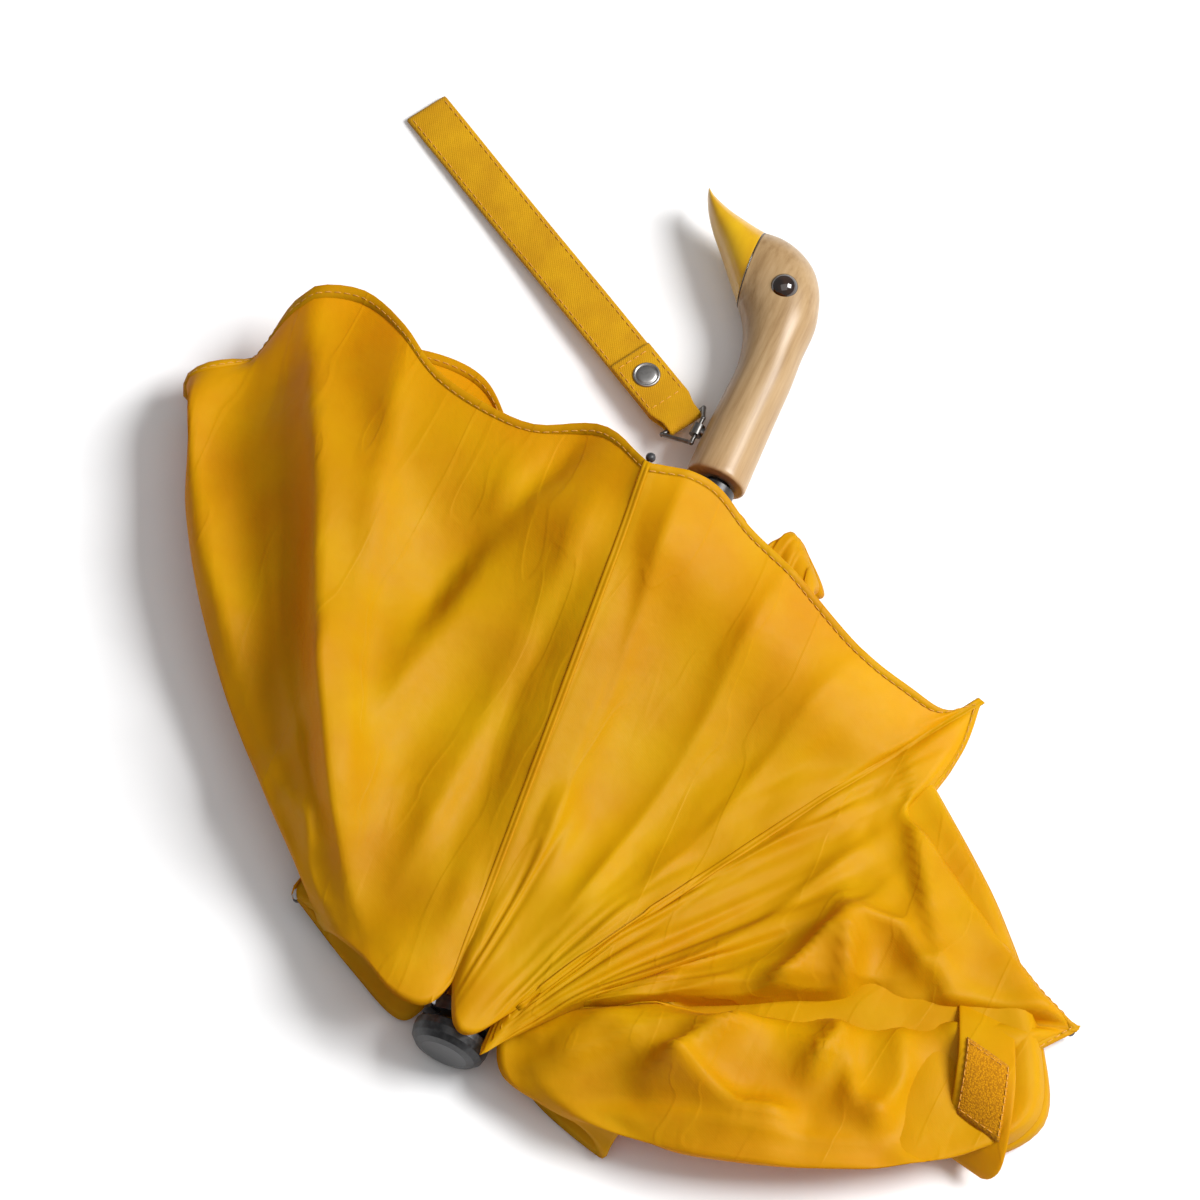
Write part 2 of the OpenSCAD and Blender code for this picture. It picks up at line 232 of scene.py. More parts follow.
def tape():
    made, tree, shader = material("strap_tape", (0.60, 0.29, 0.002), 0.7, Sheen_Weight=0.05,
                                  Specular_IOR_Level=0.15)
    soft = noise_at(tree, 90, 4)
    colour_by(tree, shader, soft, (0.3, (0.43, 0.205, 0.0006)), (0.7, (0.51, 0.265, 0.001)))
    normal = bump(tree, shader, noise_at(tree, 420, 3), 0.25, 0.0006)
    weave(tree, shader, 0.0007, 0.4, STRAP_ANGLE, normal)
    return made


def velcro():
    made, tree, shader = material("hook_and_loop", (0.5, 0.22, 0.004), 0.9, Sheen_Weight=0.05,
                                  Specular_IOR_Level=0.1)
    dots = tree.nodes.new("ShaderNodeTexVoronoi")
    dots.inputs["Scale"].default_value = 1700
    tree.links.new(place_of(tree), dots.inputs["Vector"])
    colour_by(tree, shader, dots.outputs["Distance"],
              (0.1, (0.60, 0.26, 0.002)), (0.7, (0.36, 0.14, 0.002)))
    bump(tree, shader, dots.outputs["Distance"], 0.6, 0.0004)
    return made


def birch():
    """Pale wood under satin varnish, its grain along the grip."""
    made, tree, shader = material("varnished_birch", (0.36, 0.24, 0.12), 0.45, Coat_Weight=0.15,
                                  Coat_Roughness=0.3, Specular_IOR_Level=0.3)
    grain = noise_at(tree, 420, 6, 0.65, place_of(tree, (1, 0.06, 1)))
    cloud = noise_at(tree, 55, 4, 0.5, place_of(tree, (1, 0.35, 1)))
    streaks = ramp(tree, grain, (0.32, (0.28, 0.175, 0.08)), (0.5, (0.36, 0.24, 0.12)),
                   (0.72, (0.43, 0.30, 0.165)))
    shade = ramp(tree, cloud, (0.3, (0.86, 0.80, 0.72)), (0.7, (1, 1, 1)))
    blend = tree.nodes.new("ShaderNodeMix")
    blend.data_type = "RGBA"
    blend.blend_type = "MULTIPLY"
    blend.inputs["Factor"].default_value = 1
    tree.links.new(streaks, blend.inputs["A"])
    tree.links.new(shade, blend.inputs["B"])
    tree.links.new(blend.outputs["Result"], shader.inputs["Base Color"])
    bump(tree, shader, grain, 0.06, 0.0004)
    vary_roughness(tree, shader, cloud, 0.24, 0.4)
    return made


def yellow_paint():
    made, tree, shader = material("yellow_paint", (0.58, 0.32, 0.0), 0.32, Coat_Weight=0.3,
                                  Coat_Roughness=0.15)
    brushed = noise_at(tree, 160, 4, 0.5, place_of(tree, (1, 0.3, 1)))
    colour_by(tree, shader, brushed, (0.3, (0.52, 0.27, 0.0)), (0.7, (0.62, 0.37, 0.001)))
    bump(tree, shader, brushed, 0.1, 0.0004)
    return made


def eye_gloss():
    made, tree, shader = material("eye_gloss", (0.012, 0.006, 0.004), 0.12, Coat_Weight=1.0)
    cloud = noise_at(tree, 300, 3)
    colour_by(tree, shader, cloud, (0.3, (0.008, 0.004, 0.003)), (0.8, (0.035, 0.014, 0.006)))
    bump(tree, shader, cloud, 0.05, 0.0003)
    return made


def steel(name, colour, roughness):
    """Plated metal with fine wear."""
    made, tree, shader = material(name, colour, roughness, Metallic=1.0)
    wear = noise_at(tree, 380, 5, 0.6)
    dark = tuple(0.6 * part for part in colour)
    colour_by(tree, shader, wear, (0.3, dark), (0.62, colour))
    vary_roughness(tree, shader, wear, roughness * 1.6, roughness * 0.8)
    bump(tree, shader, wear, 0.12, 0.0002)
    return made


def moulded(name, colour, roughness):
    """Moulded plastic or lacquer with a faint grain and scuffs."""
    made, tree, shader = material(name, colour, roughness)
    scuff = noise_at(tree, 700, 4)
    bright = tuple(part + 0.02 for part in colour)
    colour_by(tree, shader, scuff, (0.4, colour), (0.75, bright))
    vary_roughness(tree, shader, scuff, roughness * 0.8, roughness * 1.4)
    bump(tree, shader, scuff, 0.1, 0.0002)
    return made


def table_top():
    made, tree, shader = material("table_top", (0.86, 0.86, 0.865), 0.6)
    speck = noise_at(tree, 40, 3)
    colour_by(tree, shader, speck, (0.3, (0.85, 0.85, 0.855)), (0.7, (0.87, 0.87, 0.875)))
    return made


# ---------------------------------------------------------------- mesh helpers

def new_piece(name, mesh_data, body, look):
    vertices, faces = mesh_data
    mesh = bpy.data.meshes.new(name)
    mesh.from_pydata([tuple(v) for v in vertices], [], faces)
    mesh.update()
    mesh.materials.append(look)
    mesh.shade_smooth()
    piece = bpy.data.objects.new(name, mesh)
    bpy.context.collection.objects.link(piece)
    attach(piece, body)
    return piece


def apply_modifiers(piece):
    graph = bpy.context.evaluated_depsgraph_get()
    mesh = bpy.data.meshes.new_from_object(piece.evaluated_get(graph))
    piece.modifiers.clear()
    piece.data = mesh


def smooth_steps(points, steps):
    """Points on a smooth curve through the given ones, that many steps from each to the next."""
    ends = [2 * points[0] - points[1], *points, 2 * points[-1] - points[-2]]
    made = []
    for i in range(1, len(ends) - 2):
        p0, p1, p2, p3 = ends[i - 1:i + 3]
        for j in range(steps):
            t = j / steps
            made.append(0.5 * (2 * p1 + (p2 - p0) * t + (2 * p0 - 5 * p1 + 4 * p2 - p3) * t * t
                               + (3 * p1 - p0 - 3 * p2 + p3) * t ** 3))
    made.append(points[-1].copy())
    return made


def lengths_along(line):
    """How far along the line each of its points is."""
    lengths = [0.0]
    for a, b in zip(line, line[1:]):
        lengths.append(lengths[-1] + (b - a).length)
    return lengths


def curve_through(points, count):
    """count points evenly spaced on a smooth curve through the given points."""
    fine = smooth_steps(points, 12)
    lengths = lengths_along(fine)
    even = []
    i = 0
    for n in range(count):
        goal = lengths[-1] * n / (count - 1)
        while i < len(lengths) - 2 and lengths[i + 1] < goal:
            i += 1
        step = max(lengths[i + 1] - lengths[i], 1e-9)
        even.append(fine[i].lerp(fine[i + 1], min(1, (goal - lengths[i]) / step)))
    return even


def ring_faces(count, sides, closed=False, caps=True):
    """Faces between count rings of points, one after another, and one over each end.
    closed joins the last ring to the first."""
    total = count * sides
    faces = []
    for i in range(count if closed else count - 1):
        for j in range(sides):
            a, b = i * sides + j, i * sides + (j + 1) % sides
            faces.append((a, b, (b + sides) % total, (a + sides) % total))
    if caps and not closed:
        faces.append(tuple(reversed(range(sides))))
        faces.append(tuple(range(total - sides, total)))
    return faces


def tube(points, radius, sides, closed=False):
    """Vertices and faces of a round bar along the points."""
    count = len(points)
    vertices = []
    side = None
    for i, point in enumerate(points):
        after = points[(i + 1) % count] if closed or i < count - 1 else point
        before = points[i - 1] if closed or i > 0 else point
        way = (after - before).normalized()
        if side is None:
            side = way.orthogonal()
        side = (side - way * side.dot(way)).normalized()
        other = way.cross(side)
        for j in range(sides):
            turn = math.tau * j / sides
            vertices.append(point + radius * (math.cos(turn) * side + math.sin(turn) * other))
    return vertices, ring_faces(count, sides, closed)


def joined(*meshes):
    vertices, faces = [], []
    for more_vertices, more_faces in meshes:
        start = len(vertices)
        vertices += more_vertices
        faces += [tuple(i + start for i in face) for face in more_faces]
    return vertices, faces


# ---------------------------------------------------------------- canopy

def hinge_place(name):
    return Vector(JOINTS[name]["pos_m"])


COLUMNS = 40        # columns of cloth across one gore
OUTER_ROWS = 30     # rows from the knees to the hem
FOLDED_ROWS = 8     # rows of each of the two inner folds
SETTLE_FRAMES = 14

# Each gore from rib k to the next, leftward over the top: where its cloth runs between the two
# ribs at the knees, half way along and at the hem. The ribs' own points are added at both ends.
GORES = [
    dict(knee=[(-9, -6, 32), (-20, -7, 32), (-34, 1, 30), (-48, 8, 22), (-54, 13, 9), (-36, 13, 12)],
         middle=[(-30, 100, 45), (-50, 98, 43), (-72, 100, 37), (-92, 106, 25), (-103, 107, 11),
                 (-111, 100, 18), (-124, 92, 21), (-135, 87, 12), (-128, 88, 3), (-92, 98, 3)],
         hem=[(-38, 200, 52), (-62, 193, 47), (-95, 199, 41), (-116, 213, 37), (-134, 221, 32),
              (-152, 215, 28), (-160, 203, 14), (-161, 194, 12), (-173, 183, 19), (-181, 175, 10),
              (-170, 172, 3), (-135, 182, 3), (-100, 197, 8)]),
    dict(knee=[(-40, 8, 25)],
         middle=[(-75, 104, 22), (-98, 102, 12), (-76, 108, 8)],
         hem=[(-86, 213, 21), (-112, 214, 19), (-132, 205, 12), (-118, 200, 6), (-88, 206, 5)]),
    dict(knee=[(-42, 5, 7), (-20, -4, 4)],
         middle=[(-90, 104, 2), (-118, 92, 1.5), (-70, 104, 1.5)],
         hem=[(-84, 203, 3), (-122, 188, 2), (-152, 164, 1.5), (-146, 150, 1), (-104, 168, 1),
              (-66, 188, 1.5)]),
    dict(knee=[(-6, 3, 1.5), (-2, 2, 1.5)],
         middle=[(-14, 104, 1), (2, 104, 1)],
         hem=[(-25, 206, 2), (-6, 210, 1.5), (12, 208, 2)]),
    dict(knee=[(5, 3, 2)],
         middle=[(22, 106, 1.5), (32, 104, 2)],
         hem=[(31, 207, 3), (39, 202, 4), (47, 193, 4.5)]),
    dict(knee=[(16, 2, 3), (32, -12, 2), (60, -22, 4), (50, -17, 11), (21, -13, 16)],
         middle=[(66, 92, 1.5), (98, 54, 1.5), (120, 2, 2), (128, -13, 5), (116, -5, 14),
                 (108, 26, 12)],
         hem=[(62, 176, 2), (104, 146, 1.5), (150, 106, 1.5), (178, 70, 1.5), (187, 46, 2.5),
              (172, 26, 6), (160, 32, 11), (170, 58, 10)]),
    dict(knee=[(13, -13, 26)],
         middle=[(92, 52, 19), (84, 56, 13), (76, 62, 23), (68, 68, 16), (62, 76, 25)],
         hem=[(166, 90, 7), (143, 104, 8), (120, 119, 11), (106, 127, 12), (110, 140, 10),
              (113, 157, 11)]),
    dict(knee=[(9, -9, 31), (2, -9, 33)],
         middle=[(48, 88, 36), (34, 94, 40), (16, 100, 45), (2, 103, 47)],
         hem=[(103, 164, 19), (90, 164, 25), (70, 168, 31), (42, 180, 40), (22, 187, 46),
              (5, 194, 53)]),
]


def rib_ends(k):
    """Knee and tip of outer rib k, from its joint and its CAD solid."""
    knee = hinge_place(f"outer_rib_{k}_hinge")
    solid = frame["nodes"][f"outer_rib_{k}"]
    far = max((solid.matrix_world @ v.co for v in solid.data.vertices), key=lambda p: (p - knee).length)
    short = -1 if k in (7, 8) else 5
    return knee, far - (far - knee).normalized() * short * MM


OVER_ROD = 2.6 * MM     # from a rod's middle up to the cloth that lies on it
UNDER_ROD = 1.2 * MM    # and down to the cloth under it


def above_rib(k):
    """How far the cloth's line on rib k lies from the rod, on the side where the cloth is."""
    return Vector((0, 0, -UNDER_ROD if k in (4, 5, 6) else OVER_ROD))


def gore_line(k, key, share):
    """The cloth's line across gore k at the knees, half way or at the hem, that share along its ribs."""
    ends = []
    for rib in (k, k % len(GORES) + 1):
        knee, tip = rib_ends(rib)
        place = knee.lerp(tip, share) + above_rib(rib)
        if key == "knee":
            away = Vector((knee.x - SHAFT.x, 0, 0)).normalized()
            place += MM * away - Vector((0, (1 if rib == 3 else 4) * MM, 0))
        place.z = max(place.z, MM)
        ends.append(place)
    between = [at(*p) for p in GORES[k - 1][key]]
    return curve_through([ends[0], *between, ends[1]], COLUMNS + 1)


PLEATS = 64         # pleats of the inner folds, eight to a gore
CROWN_CLOTH = 10.5  # millimetres from the shaft's line to the cloth round the crown
CROWN_Y = -3.6      # where the cloth is nailed to the crown, along the shaft
FOLD_OUT = 152      # how far out along the shaft the inner folds go


def fold_point(column, total, share):
    """The inner folds: from the knees' fold out along the shaft and back to the crown, pleated."""
    turn = math.radians(90 + 360 * column / total)
    swell = math.sin(math.pi * share)
    wide = CROWN_CLOTH + (58 if math.cos(turn) < 0 else 46) * swell
    tall = CROWN_CLOTH + (7 if math.sin(turn) > 0 else 1.6) * swell
    outer = 1 / math.hypot(math.cos(turn) / wide, math.sin(turn) / tall)
    inner = 9 - 3 * share
    pleat = 0.5 + 0.5 * math.cos(PLEATS * math.tau * column / total)
    radius = inner + (outer - inner) * pleat * min(1, 6 * (1 - share))
    return at(radius * math.cos(turn), CROWN_Y + FOLD_OUT * swell,
              SHAFT.z / MM + radius * math.sin(turn))


def canopy_grid():
    """Rows of points, from the hem to the crown. Every row goes once round the shaft."""
    lines = []
    for key, share in (("knee", 0), ("middle", 0.5), ("hem", 1)):
        line = []
        for k in RIBS:
            line += gore_line(k, key, share)[:-1]
        lines.append(line)
    knee, middle, hem = lines
    total = len(knee)
    rows = []
    for r in range(OUTER_ROWS + 1):
        v = 1 - r / OUTER_ROWS
        a, b, c = 2 * (v - 0.5) * (v - 1), 4 * v * (1 - v), 2 * v * (v - 0.5)
        rows.append([a * knee[i] + b * middle[i] + c * hem[i] for i in range(total)])
    for r in range(1, 2 * FOLDED_ROWS + 1):
        s = r / (2 * FOLDED_ROWS)
        ease = min(1, 3 * s)
        rows.append([knee[i].lerp(fold_point(i, total, s), ease) for i in range(total)])
    return np.array([[tuple(p) for p in row] for row in rows])


# Length of each rib and its angle from the shaft when the umbrella is up, from the crown outward
RIB_LENGTHS = (175, 165, 186)
RIB_ANGLES = (78, 68, 55)
GORE_TURN = math.tau / len(GORES)
HOLLOW = 0.05       # how far a raised gore's hem curves in between its ribs, as a share


def open_profile(distance):
    """Place along the shaft and radius of cloth on a raised rib, this far from the crown along it."""
    y, radius = -4.0, 5 + min(6, distance)
    left = distance
    for length, angle in zip(RIB_LENGTHS, RIB_ANGLES):
        step = min(left, length)
        y += step * math.cos(math.radians(angle))
        radius += step * math.sin(math.radians(angle))
        left -= step
    return y, radius


def open_grid(rows_per_step, total):
    """Where each point of the cloth is when the umbrella is up."""
    top, mid, outer = RIB_LENGTHS
    joint_rows = np.cumsum((0, OUTER_ROWS, FOLDED_ROWS, FOLDED_ROWS))
    gore = total // len(GORES)
    rows = []
    for r in range(joint_rows[-1] * rows_per_step + 1):
        distance = np.interp(r / rows_per_step, joint_rows, (top + mid + outer, top + mid, top, 0))
        line = []
        for column in range(total):
            share = column % gore / gore
            hollow = HOLLOW * 4 * share * (1 - share) * (distance / sum(RIB_LENGTHS)) ** 2
            y, radius = open_profile(distance * (1 - hollow))
            radius *= math.cos(GORE_TURN / 2) / math.cos(GORE_TURN * (share - 0.5))
            turn = math.radians(90) + math.tau * column / total
            line.append(tuple(at(radius * math.cos(turn), y, SHAFT.z / MM + radius * math.sin(turn))))
        rows.append(line)
    return np.array(rows)


def opens(piece, open_points):
    """Gives a piece of the canopy its place when the umbrella is up. A geometry modifier takes it
    there as the runner slides along the shaft."""
    goals = piece.data.attributes.new("open_place", "FLOAT_VECTOR", "POINT")
    goals.data.foreach_set("vector", np.asarray(open_points, dtype=np.float32).ravel())
    tree = bpy.data.node_groups.new("opens_with_runner", "GeometryNodeTree")
    new, link = tree.nodes.new, tree.links.new
    for way in ("INPUT", "OUTPUT"):
        tree.interface.new_socket("Geometry", in_out=way, socket_type="NodeSocketGeometry")
    source = new("NodeGroupInput")
    result = new("NodeGroupOutput")
    runner = new("GeometryNodeObjectInfo")
    runner.transform_space = "RELATIVE"
    runner.inputs["Object"].default_value = frame["nodes"]["runner"]
    parts = new("ShaderNodeSeparateXYZ")
    share = new("ShaderNodeMapRange")
    share.inputs["From Max"].default_value = -JOINTS["runner_slide"]["range_m"][1]
    goal = new("GeometryNodeInputNamedAttribute")
    goal.data_type = "FLOAT_VECTOR"
    goal.inputs["Name"].default_value = "open_place"
    mix = new("ShaderNodeMix")
    mix.data_type = "VECTOR"
    move = new("GeometryNodeSetPosition")
    places = [socket for socket in mix.inputs if socket.type == "VECTOR" and socket.name in "AB"]
    link(runner.outputs["Location"], parts.inputs[0])
    link(parts.outputs["Y"], share.inputs["Value"])
    link(share.outputs["Result"], mix.inputs[0])
    link(new("GeometryNodeInputPosition").outputs[0], places[0])
    link(goal.outputs["Attribute"], places[1])
    link(source.outputs["Geometry"], move.inputs["Geometry"])
    link([out for out in mix.outputs if out.type == "VECTOR"][0], move.inputs["Position"])
    link(move.outputs["Geometry"], result.inputs["Geometry"])
    piece.modifiers.new("opens", "NODES").node_group = tree


def grid_mesh(grid):
    """Vertices and faces of rows of points that close round on themselves."""
    return grid.reshape(-1, 3).tolist(), ring_faces(*grid.shape[:2], caps=False)


def unit(vectors):
    return vectors / np.maximum(np.linalg.norm(vectors, axis=-1, keepdims=True), 1e-12)


def across_of(grid):
    """Unit directions along the rows."""
    return unit(np.roll(grid, -1, axis=1) - np.roll(grid, 1, axis=1))


def normals_of(grid):
    """Unit normals that point out of the canopy."""
    return unit(np.cross(across_of(grid), np.gradient(grid, axis=0)))


LOWEST = 0.4 * MM   # the cloth's middle never lies lower than this above the table


def finer(grid):
    """The same cloth with a point between each two, on smooth curves."""
    count, total = grid.shape[:2]
    wide = np.empty((count, 2 * total, 3))
    wide[:, ::2] = grid
    near = grid + np.roll(grid, -1, axis=1)
    far = np.roll(grid, 1, axis=1) + np.roll(grid, -2, axis=1)
    wide[:, 1::2] = (9 * near - far) / 16
    padded = np.concatenate([2 * wide[:1] - wide[1:2], wide, 2 * wide[-1:] - wide[-2:-1]])
    tall = np.empty((2 * count - 1, 2 * total, 3))
    tall[::2] = wide
    tall[1::2] = (9 * (padded[1:-2] + padded[2:-1]) - padded[:-3] - padded[3:]) / 16
    tall[:, :, 2] = np.maximum(tall[:, :, 2], LOWEST)
    return tall


def settle(piece, held):
    """Lets the cloth fall and crumple between the ribs. held is each point's hold, from 0 to 1."""
    group = piece.vertex_groups.new(name="held")
    for index, hold in enumerate(held):
        if hold > 0:
            group.add([index], hold, "REPLACE")
    cloth = piece.modifiers.new("settle", "CLOTH")
    settings = cloth.settings
    settings.quality = 6
    settings.mass = 0.12
    settings.tension_stiffness = settings.compression_stiffness = 15
    settings.shear_stiffness = 5
    settings.bending_stiffness = 1.5
    settings.vertex_group_mass = "held"
    settings.pin_stiffness = 3
    settings.shrink_min = -0.02
    settings.effector_weights.gravity = 0.3
    contact = cloth.collision_settings
    contact.use_collision = contact.use_self_collision = True
    contact.distance_min = 0.001
    contact.self_distance_min = 0.0005
    contact.self_friction = 5
    cloth.point_cache.frame_end = SETTLE_FRAMES
    floor = bpy.data.objects["table_top"]
    floor.modifiers.new("collide", "COLLISION")
    scene = bpy.context.scene
    for number in range(1, SETTLE_FRAMES + 1):
        scene.frame_set(number)
    apply_modifiers(piece)
    floor.modifiers.clear()
    scene.frame_set(1)


HEM_HOLDS = (1, 0.95, 0.85, 0.6, 0.35, 0.2, 0.1, 0.05)     # of the rows from the hem inward


def holds(grid):
    """Full hold on the ribs and the knees, a fading one from the hem inward, almost none elsewhere."""
    held = np.full(grid.shape[:2], 0.012)
    for r, hold in enumerate(HEM_HOLDS):
        held[r] = hold
    held[OUTER_ROWS - 1:] = 1
    held[:, ::COLUMNS] = 1
    return held.ravel().tolist()


def smoothed(grid, passes):
    """The outer cloth without its sharpest creases. The ribs, the hem and the knees stay."""
    grid = grid.copy()
    for _ in range(passes):
        beside = np.roll(grid, 1, axis=1) + np.roll(grid, -1, axis=1)
        mean = (grid[2:] + grid[:-2] + beside[1:-1]) / 4
        mean[:, ::COLUMNS] = grid[1:-1, ::COLUMNS]
        grid[1:-1] += 0.5 * (mean - grid[1:-1])
    return grid


def tucked(grid):
    """Keeps the inner folds inside the outer cloth, so that no pleat comes through it."""
    outer = grid_mesh(grid[:OUTER_ROWS + 1])
    tree = BVHTree.FromPolygons([tuple(p) for p in outer[0]], outer[1])
    inner = grid[OUTER_ROWS + 2:]
    for point in inner.reshape(-1, 3):
        above = tree.ray_cast(Vector((point[0], point[1], 0.3)), -UP)[0]
        if above is not None:
            point[2] = min(point[2], above.z - 2.5 * MM)
        point[2] = max(point[2], 1.5 * MM)
    return grid


# Folds pressed into the cloth where it faces up: points along each one, its height in millimetres
# and how far it reaches on its left and right sides, seen from its first point
FOLDS = [
    ([(-147, 207), (-119, 150), (-93, 93), (-66, 43), (-41, 13)], 17, 22, 9),
    ([(-84, 45), (-72, 38), (-65, 28)], 5, 4, 3),
    ([(-178, 172), (-146, 116), (-114, 75)], 7, 12, 4),
    ([(-112, 205), (-96, 150), (-80, 92), (-52, 30)], 5, 6, 12),
    ([(-40, 198), (-55, 160), (-70, 105)], -7, 5, 16),
    ([(-58, 178), (-56, 120), (-66, 70)], 5, 12, 5),
    ([(-27, 176), (-31, 105), (-32, 63), (-37, 22)], 5, 4, 12),
    ([(-3, 193), (3, 116), (4, 40)], 6, 12, 9),
    ([(-16, 174), (-10, 147), (-10, 85), (-7, 30)], -6, 6, 12),
    ([(38, 176), (33, 110), (16, 20)], 5, 12, 7),
    ([(68, 158), (50, 92), (22, 12)], 4, 10, 6),
    ([(88, 130), (62, 76), (28, 10)], 3, 8, 6),
    ([(34, 2), (79, 67), (104, 120)], 5, 4, 8),
    ([(38, -5), (66, 45), (102, 104)], -3, 8, 8),
    ([(103, 81), (90, 40), (62, -4)], 12, 9, 4),
    ([(103, 81), (112, 58), (117, 41), (112, 18)], 11, 3, 6),
    ([(103, 81), (120, 84), (138, 70)], 9, 4, 6),
    ([(92, 32), (104, 42), (118, 38), (126, 24)], -3, 4, 5),
    ([(66, 12), (96, 4), (118, 10)], 9, 3, 8),
    ([(130, 60), (142, 36), (140, 12)], 5, 4, 7),
    ([(106, 126), (128, 91), (144, 67), (158, 50)], 6, 12, 3),
    ([(22, 8), (54, 32), (84, 46), (108, 60)], 4, 6, 9),
    ([(44, 12), (72, 40), (94, 64)], 3, 3, 6),
    ([(34, -6), (64, 22), (88, 30)], 7, 8, 4),
    ([(118, 40), (130, 22), (146, 20)], 6, 3, 5),
    ([(-100, 30), (-86, 62), (-92, 110)], 4, 4, 8),
]


FOLD_ROWS = slice(0, 2 * OUTER_ROWS - 2)    # the rows that folds lift, from the hem inward


def spread(values, passes):
    """Values on the grid, each one averaged with its neighbours."""
    for _ in range(passes):
        tall = np.pad(values, ((1, 1), (0, 0)), mode="edge")
        beside = np.roll(values, 1, axis=1) + np.roll(values, -1, axis=1)
        values = (2 * values + tall[2:] + tall[:-2] + beside) / 6
    return values


def on_top(grid):
    """1 where the cloth is the uppermost layer and faces up, and 0 where it isn't."""
    vertices, faces = grid_mesh(grid)
    tree = BVHTree.FromPolygons(vertices, faces)
    outer = grid[FOLD_ROWS]
    top = np.zeros(outer.shape[:2])
    for r, i in np.ndindex(top.shape):
        place = Vector(outer[r, i])
        hit = tree.ray_cast(place + 0.3 * UP, -UP)[0]
        top[r, i] = hit is not None and hit.z - place.z < 2 * MM
    return spread(top, 2) * np.clip(3 * normals_of(grid)[FOLD_ROWS, :, 2], 0, 1)


def fold_lift(outer, points, height, left, right):
    """How far one fold lifts each point of the cloth. It dies out at its two ends."""
    line = np.array([tuple(at(x, y, 0))[:2] for x, y in points])
    steps = np.linalg.norm(np.diff(line, axis=0), axis=1)
    nearest = np.full(outer.shape[:2], np.inf)
    lift = np.zeros(outer.shape[:2])
    for i, step in enumerate(steps):
        way = (line[i + 1] - line[i]) / step
        offset = outer[:, :, :2] - line[i]
        along = np.clip(offset @ way, 0, step)
        gap = offset - along[:, :, None] * way
        distance = np.linalg.norm(gap, axis=2)
        side = gap[:, :, 1] * way[0] - gap[:, :, 0] * way[1]
        reach = np.where(side > 0, left, right) * MM
        shape = np.exp(-(np.sqrt(distance ** 2 + MM ** 2) - MM) / reach)
        share = (steps[:i].sum() + along) / steps.sum()
        ends = np.minimum(1, 5 * np.minimum(share + 0.08, 1 - share))
        lift = np.where(distance < nearest, height * MM * shape * ends, lift)
        nearest = np.minimum(distance, nearest)
    return lift


def rod_lift(outer):
    """How far the cloth has to rise to lie on the rods under it, as soft ridges."""
    lift = np.zeros(outer.shape[:2])
    for k in (1, 7, 8):
        knee, tip = rib_ends(k)
        places = [hinge_place(f"top_rib_{k}_hinge"), hinge_place(f"mid_rib_{k}_hinge"), knee, tip]
        for low, high in zip(places, places[1:]):
            low, high = np.array(low), np.array(high)
            way = high - low
            share = np.clip((outer - low)[:, :, :2] @ way[:2] / (way[:2] @ way[:2]), 0, 1)
            near = low + share[:, :, None] * way
            distance = np.linalg.norm((outer - near)[:, :, :2], axis=2)
            need = near[:, :, 2] + OVER_ROD - 0.4 * np.maximum(0, distance - 2 * MM) - outer[:, :, 2]
            lift = np.where((distance < 12 * MM) & (need < 14 * MM), np.maximum(lift, need), lift)
    return lift


def pressed(grid):
    """The cloth with its folds, and lifted clear of the rods under it."""
    grid = grid.copy()
    outer = grid[FOLD_ROWS]
    top = on_top(grid)
    outer[:, :, 2] += top * sum(fold_lift(outer, *fold) for fold in FOLDS)
    outer[:, :, 2] += top * spread(rod_lift(outer), 2)
    grid[:, :, 2] = np.maximum(grid[:, :, 2], LOWEST)
    return grid


def make_canopy(look):
    """The cloth, settled. Returns its piece, its grid of points and the same grid when it is up."""
    grid = canopy_grid()
    loose = grid[:OUTER_ROWS + 2]
    draft = new_piece("canopy_draft", grid_mesh(loose), "upper_tube", look)
    settle(draft, holds(loose))
    loose[:] = np.array([tuple(v.co) for v in draft.data.vertices]).reshape(loose.shape)
    bpy.data.objects.remove(draft)
    grid[:OUTER_ROWS + 1] = smoothed(grid[:OUTER_ROWS + 1], 3)
    grid = pressed(finer(tucked(grid)))
    raised = open_grid(2, grid.shape[1])
    canopy = new_piece("canopy_cloth", grid_mesh(grid), "upper_tube", look)
    opens(canopy, raised)
    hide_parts("canopy")
    return canopy, grid, raised


def strip_along(line, sideways, out, profile):
    """A strip that follows a line of points. The profile is pairs of sideways and outward offsets."""
    vertices = []
    for point, side, up in zip(line, sideways, out):
        vertices += [point + a * side + b * up for a, b in profile]
    return vertices, ring_faces(len(line), len(profile))


SEAM = [(-1.5, 0.1), (-1.1, 0.5), (-0.4, 0.5), (0, 0.2), (0.4, 0.5), (1.1, 0.5), (1.5, 0.1), (0, -0.3)]


def seam_mesh(grid):
    """The felled seam on every rib, from the hem to the knees."""
    parts = []
    profile = [(a * MM, b * MM) for a, b in SEAM]
    fields = grid, across_of(grid), normals_of(grid)
    for column in range(0, grid.shape[1], 2 * COLUMNS):
        line, side, out = ([Vector(p) for p in field[:2 * OUTER_ROWS + 1, column]] for field in fields)
        parts.append(strip_along(line, side, out, profile))
    return joined(*parts)


HEM_WIDTH = 3.1     # millimetres, about as far as the second row
HEM_LIFT = 0.22     # millimetres from the cloth to each face of the hem
HEM_EDGE = 0.3      # millimetres from the cloth's edge to the hem's


